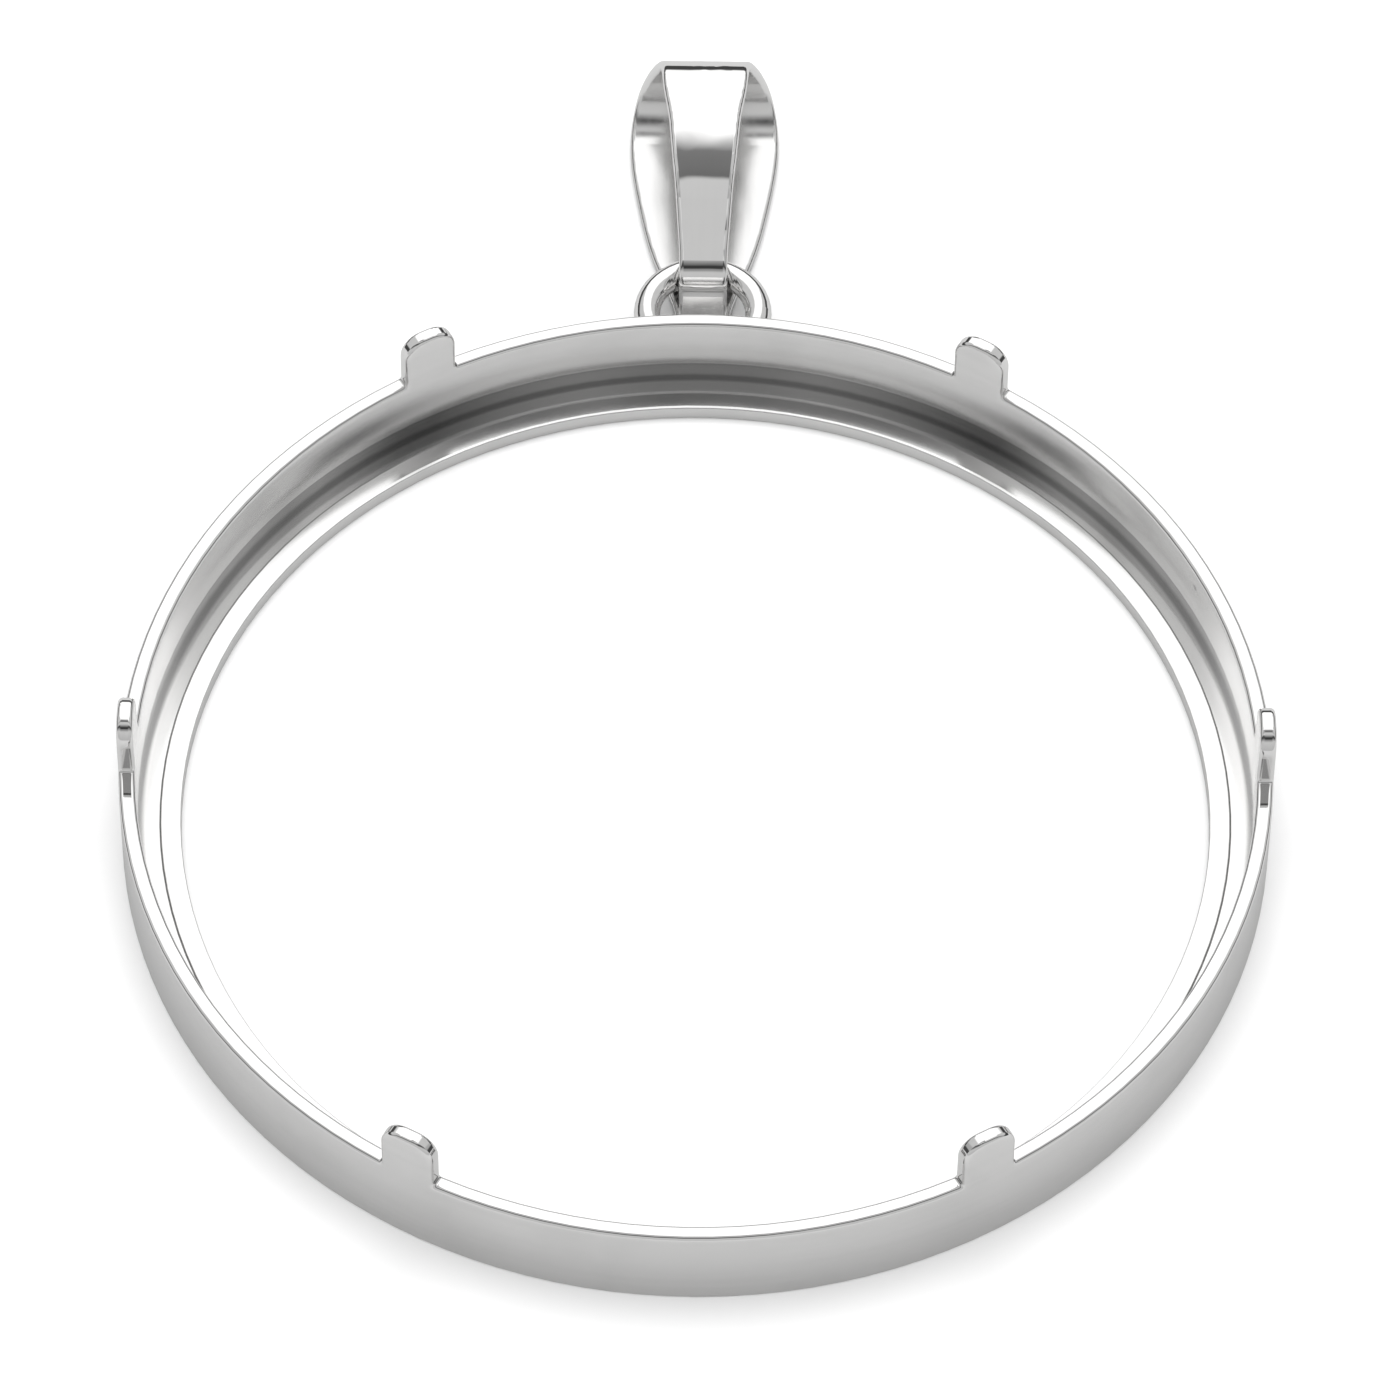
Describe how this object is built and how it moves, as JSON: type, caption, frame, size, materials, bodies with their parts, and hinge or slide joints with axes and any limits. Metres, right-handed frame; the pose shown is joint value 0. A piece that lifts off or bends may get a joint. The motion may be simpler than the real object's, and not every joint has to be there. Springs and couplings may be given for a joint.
{
  "type": "coin bezel",
  "caption": "Round silver bezel that holds a large coin between a ledge and bent-over tabs, with a soldered hanging ring and a tapered swinging bail.",
  "frame": {"origin": "middle of the open back, on the plane that the back lies on", "axes": "+Z out of the seat towards the tabs, +Y towards the hanging ring and the bail, +X to the right"},
  "size_m": [0.042, 0.0551, 0.0058],
  "materials": {
    "bezel_silver": "satin silver with a polished rim",
    "bail_silver": "polished silver"
  },
  "bodies": {
    "bezel": {"bezel": "bezel_silver"},
    "bail": {"bail": "bail_silver"}
  },
  "joints": [
    {"name": "bail_swing", "type": "hinge", "parent": "bezel", "child": "bail", "pos_m": [0.00007, 0.02514, 0.0011], "axis": [1, 0, 0], "range_deg": [0, 110]}
  ]
}
